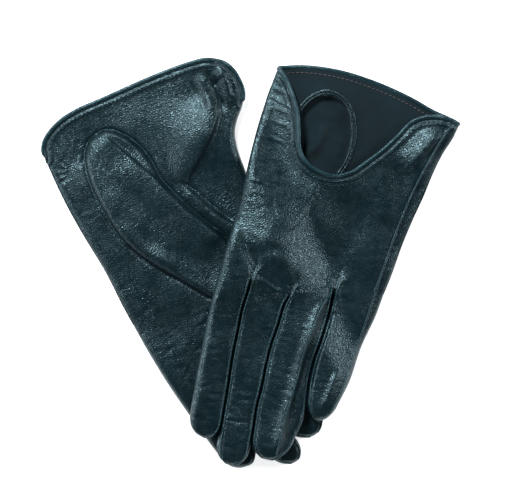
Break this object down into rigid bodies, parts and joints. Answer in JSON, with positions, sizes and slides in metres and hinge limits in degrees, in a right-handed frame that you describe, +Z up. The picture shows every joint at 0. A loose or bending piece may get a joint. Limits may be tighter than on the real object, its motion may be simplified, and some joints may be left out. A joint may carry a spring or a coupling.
{
  "type": "pair of leather driving gloves",
  "caption": "Pair of short unlined leather driving gloves laid crossed: full fingers with fourchettes, set-in thumbs, bound cuffs and a scooped opening on the back.",
  "frame": {"origin": "centre of the bounding box, on the table surface", "axes": "+Z up from the table; +Y away from the fingertips towards the cuffs; the left glove lies on the +X side"},
  "size_m": [0.218, 0.2112, 0.021],
  "materials": {
    "outer_leather": "smooth, soft sheen, dark bottle green",
    "fourchette_leather": "smooth, soft sheen, dark bottle green",
    "binding_leather": "smooth, soft sheen, dark bottle green",
    "welt_leather": "raw suede inner side, dark"
  },
  "bodies": {
    "right_hand": {"right_trank_hand": "outer_leather", "right_thumb_seam_welt": "welt_leather", "right_palm_cuff_binding": "binding_leather", "right_back_cuff_binding": "binding_leather", "right_index_middle_gusset": "fourchette_leather", "right_middle_ring_gusset": "fourchette_leather", "right_ring_little_gusset": "fourchette_leather"},
    "right_thumb": {"right_thumb": "outer_leather"},
    "right_index": {"right_index_finger": "outer_leather", "right_index_fourchette_little_side": "fourchette_leather"},
    "right_middle": {"right_middle_finger": "outer_leather", "right_middle_fourchette_thumb_side": "fourchette_leather", "right_middle_fourchette_little_side": "fourchette_leather"},
    "right_ring": {"right_ring_finger": "outer_leather", "right_ring_fourchette_thumb_side": "fourchette_leather", "right_ring_fourchette_little_side": "fourchette_leather"},
    "right_little": {"right_little_finger": "outer_leather", "right_little_fourchette_thumb_side": "fourchette_leather"},
    "left_hand": {"left_trank_hand": "outer_leather", "left_thumb_seam_welt": "welt_leather", "left_palm_cuff_binding": "binding_leather", "left_back_cuff_binding": "binding_leather", "left_index_middle_gusset": "fourchette_leather", "left_middle_ring_gusset": "fourchette_leather", "left_ring_little_gusset": "fourchette_leather"},
    "left_thumb": {"left_thumb": "outer_leather"},
    "left_index": {"left_index_finger": "outer_leather", "left_index_fourchette_little_side": "fourchette_leather"},
    "left_middle": {"left_middle_finger": "outer_leather", "left_middle_fourchette_thumb_side": "fourchette_leather", "left_middle_fourchette_little_side": "fourchette_leather"},
    "left_ring": {"left_ring_finger": "outer_leather", "left_ring_fourchette_thumb_side": "fourchette_leather", "left_ring_fourchette_little_side": "fourchette_leather"},
    "left_little": {"left_little_finger": "outer_leather", "left_little_fourchette_thumb_side": "fourchette_leather"}
  },
  "joints": [
    {"name": "left_glove_lift", "type": "slide", "parent": "right_hand", "child": "left_hand", "axis": [0, 0, 1], "range_m": [0, 0.12]},
    {"name": "right_thumb_swing", "type": "hinge", "parent": "right_hand", "child": "right_thumb", "pos_m": [-0.0666, 0.04961, 0.00735], "axis": [0, 0, -1], "range_deg": [0, 40]},
    {"name": "right_index_fold", "type": "hinge", "parent": "right_hand", "child": "right_index", "pos_m": [-0.0471, -0.03877, 0], "axis": [0.8607, 0.509, 0], "range_deg": [0, 30]},
    {"name": "right_middle_fold", "type": "hinge", "parent": "right_hand", "child": "right_middle", "pos_m": [-0.03109, -0.0293, 0], "axis": [0.8607, 0.509, 0], "range_deg": [0, 30]},
    {"name": "right_ring_fold", "type": "hinge", "parent": "right_hand", "child": "right_ring", "pos_m": [-0.01241, -0.01826, 0], "axis": [0.8607, 0.509, 0], "range_deg": [0, 30]},
    {"name": "right_little_fold", "type": "hinge", "parent": "right_hand", "child": "right_little", "pos_m": [0.00851, -0.00589, 0], "axis": [0.8607, 0.509, 0], "range_deg": [0, 30]},
    {"name": "left_thumb_swing", "type": "hinge", "parent": "left_hand", "child": "left_thumb", "pos_m": [0.03682, 0.06706, 0.01365], "axis": [0, 0, 1], "range_deg": [0, 20]},
    {"name": "left_index_fold", "type": "hinge", "parent": "left_hand", "child": "left_index", "pos_m": [-0.01014, -0.01031, 0.021], "axis": [-0.974, 0.2267, 0], "range_deg": [0, 60]},
    {"name": "left_middle_fold", "type": "hinge", "parent": "left_hand", "child": "left_middle", "pos_m": [0.00798, -0.01452, 0.021], "axis": [-0.974, 0.2267, 0], "range_deg": [0, 60]},
    {"name": "left_ring_fold", "type": "hinge", "parent": "left_hand", "child": "left_ring", "pos_m": [0.02911, -0.01944, 0.021], "axis": [-0.974, 0.2267, 0], "range_deg": [0, 60]},
    {"name": "left_little_fold", "type": "hinge", "parent": "left_hand", "child": "left_little", "pos_m": [0.05278, -0.02495, 0.021], "axis": [-0.974, 0.2267, 0], "range_deg": [0, 60]}
  ]
}
